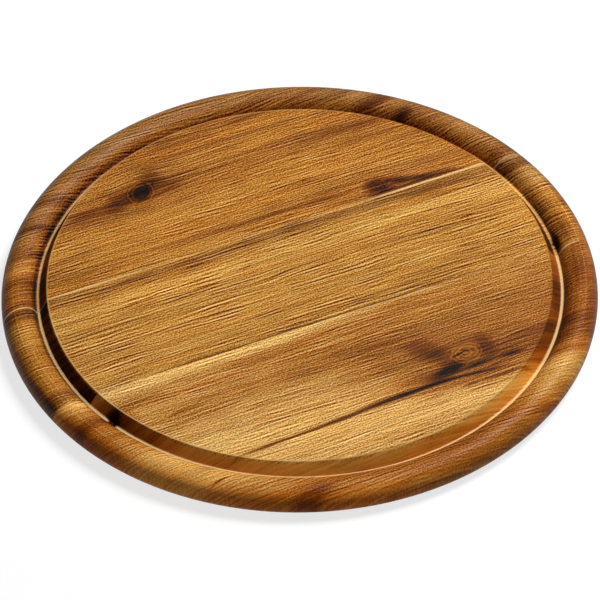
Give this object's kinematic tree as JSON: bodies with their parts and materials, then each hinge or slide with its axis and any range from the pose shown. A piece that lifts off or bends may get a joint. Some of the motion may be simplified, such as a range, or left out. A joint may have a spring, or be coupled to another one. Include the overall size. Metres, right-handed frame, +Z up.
{
  "type": "serving board",
  "caption": "Round wooden board for serving pizza, with a flat raised face, a juice groove and a rounded rim, made of edge-glued staves.",
  "frame": {"origin": "middle of the flat underside", "axes": "+Z up through the serving face, X along the grain of the staves, +Y across them towards the far stave"},
  "size_m": [0.32, 0.32, 0.017],
  "materials": {
    "far_wood": "oiled satin",
    "middle_wood": "oiled satin",
    "near_wood": "oiled satin",
    "glue": "cured wood glue, sanded flush"
  },
  "bodies": {
    "root": {"far_stave": "far_wood", "middle_stave": "middle_wood", "near_stave": "near_wood", "far_glue_line": "glue", "near_glue_line": "glue"}
  },
  "joints": []
}
